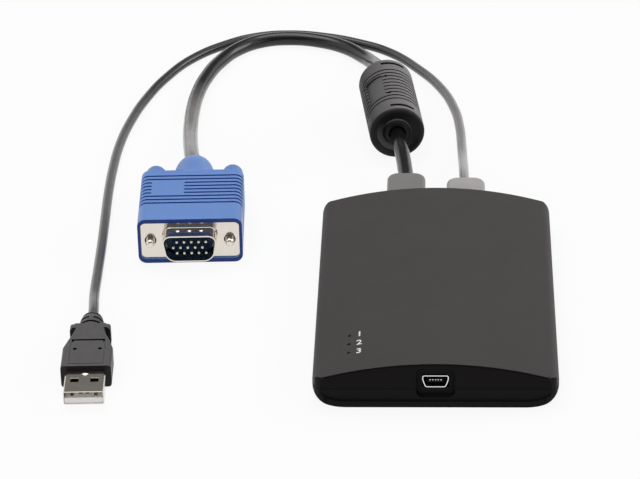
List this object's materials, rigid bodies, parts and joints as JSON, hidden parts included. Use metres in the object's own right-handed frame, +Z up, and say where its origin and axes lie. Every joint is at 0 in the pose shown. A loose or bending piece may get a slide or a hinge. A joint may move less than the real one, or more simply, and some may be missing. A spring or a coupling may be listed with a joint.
{
  "type": "crash cart adapter",
  "caption": "Palm-size console adapter with a mini socket in front and two captive leads behind, one to a display plug and one to a serial plug.",
  "frame": {"origin": "on the surface the case stands on, under the middle of the case", "axes": "+X across the case to its right, +Y along the case from the socket to the leads, +Z up"},
  "size_m": [0.1474, 0.2454, 0.0184],
  "materials": {
    "case_top": "soft-touch charcoal",
    "case_bottom": "soft-touch charcoal",
    "gland": "satin grey",
    "cable": "satin black vinyl",
    "ferrite_cover": "satin dark grey vinyl",
    "ferrite": "fired ceramic",
    "blue_mould": "satin blue vinyl",
    "black_mould": "satin dark grey vinyl",
    "nickel": "bright nickel",
    "gold": "gold flash",
    "steel": "bright",
    "blue_insulator": "dark blue",
    "white_insulator": "white",
    "black_insulator": "black",
    "inner_mould": "natural",
    "cream_nylon": "natural nylon",
    "wire": "insulated",
    "board": "green solder mask",
    "chip_resin": "moulded resin",
    "inductor": "ferrite",
    "ceramic": "fired ceramic",
    "lamp": "clear tinted resin"
  },
  "bodies": {
    "adapter": {"top_cover": "case_top", "bottom_cover": "case_bottom", "case_screws": "steel", "main_board": "board", "video_chip": "chip_resin", "usb_chip": "chip_resin", "memory_chip": "chip_resin", "flash_chip": "chip_resin", "regulator": "chip_resin", "power_inductor": "inductor", "crystals": "steel", "filter_capacitors": "steel", "chip_capacitors": "ceramic", "chip_resistors": "chip_resin", "status_leds": "lamp", "mini_usb_shell": "nickel", "mini_usb_tongue": "black_insulator", "mini_usb_contacts": "gold", "vga_gland": "gland", "usb_gland": "gland", "vga_board_socket": "cream_nylon", "vga_lead_plug": "cream_nylon", "vga_lead_wires": "wire", "usb_board_socket": "cream_nylon", "usb_lead_plug": "cream_nylon", "usb_lead_wires": "wire", "vga_cable": "cable", "vga_cable_ends": "cable", "ferrite_cover": "ferrite_cover", "ferrite_core": "ferrite", "vga_hood": "blue_mould", "vga_face_shell": "nickel", "vga_back_shell": "nickel", "vga_insert": "blue_insulator", "vga_pins": "gold", "vga_inner_mould": "inner_mould", "usb_cable": "cable", "usb_cable_ends": "cable", "usb_plug_grip": "black_mould", "usb_plug_shell": "nickel", "usb_plug_tongue": "white_insulator", "usb_plug_contacts": "gold", "usb_plug_inner_mould": "inner_mould"},
    "left_screw": {"left_jackscrew": "nickel", "left_knob": "blue_mould"},
    "right_screw": {"right_jackscrew": "nickel", "right_knob": "blue_mould"}
  },
  "joints": [
    {"name": "left_screw_spin", "type": "hinge", "parent": "adapter", "child": "left_screw", "pos_m": [-0.09091, 0.05955, 0.0079], "axis": [0.0349, -0.9994, 0], "continuous": true},
    {"name": "right_screw_spin", "type": "hinge", "parent": "adapter", "child": "right_screw", "pos_m": [-0.06593, 0.06042, 0.0079], "axis": [0.0349, -0.9994, 0], "continuous": true}
  ]
}
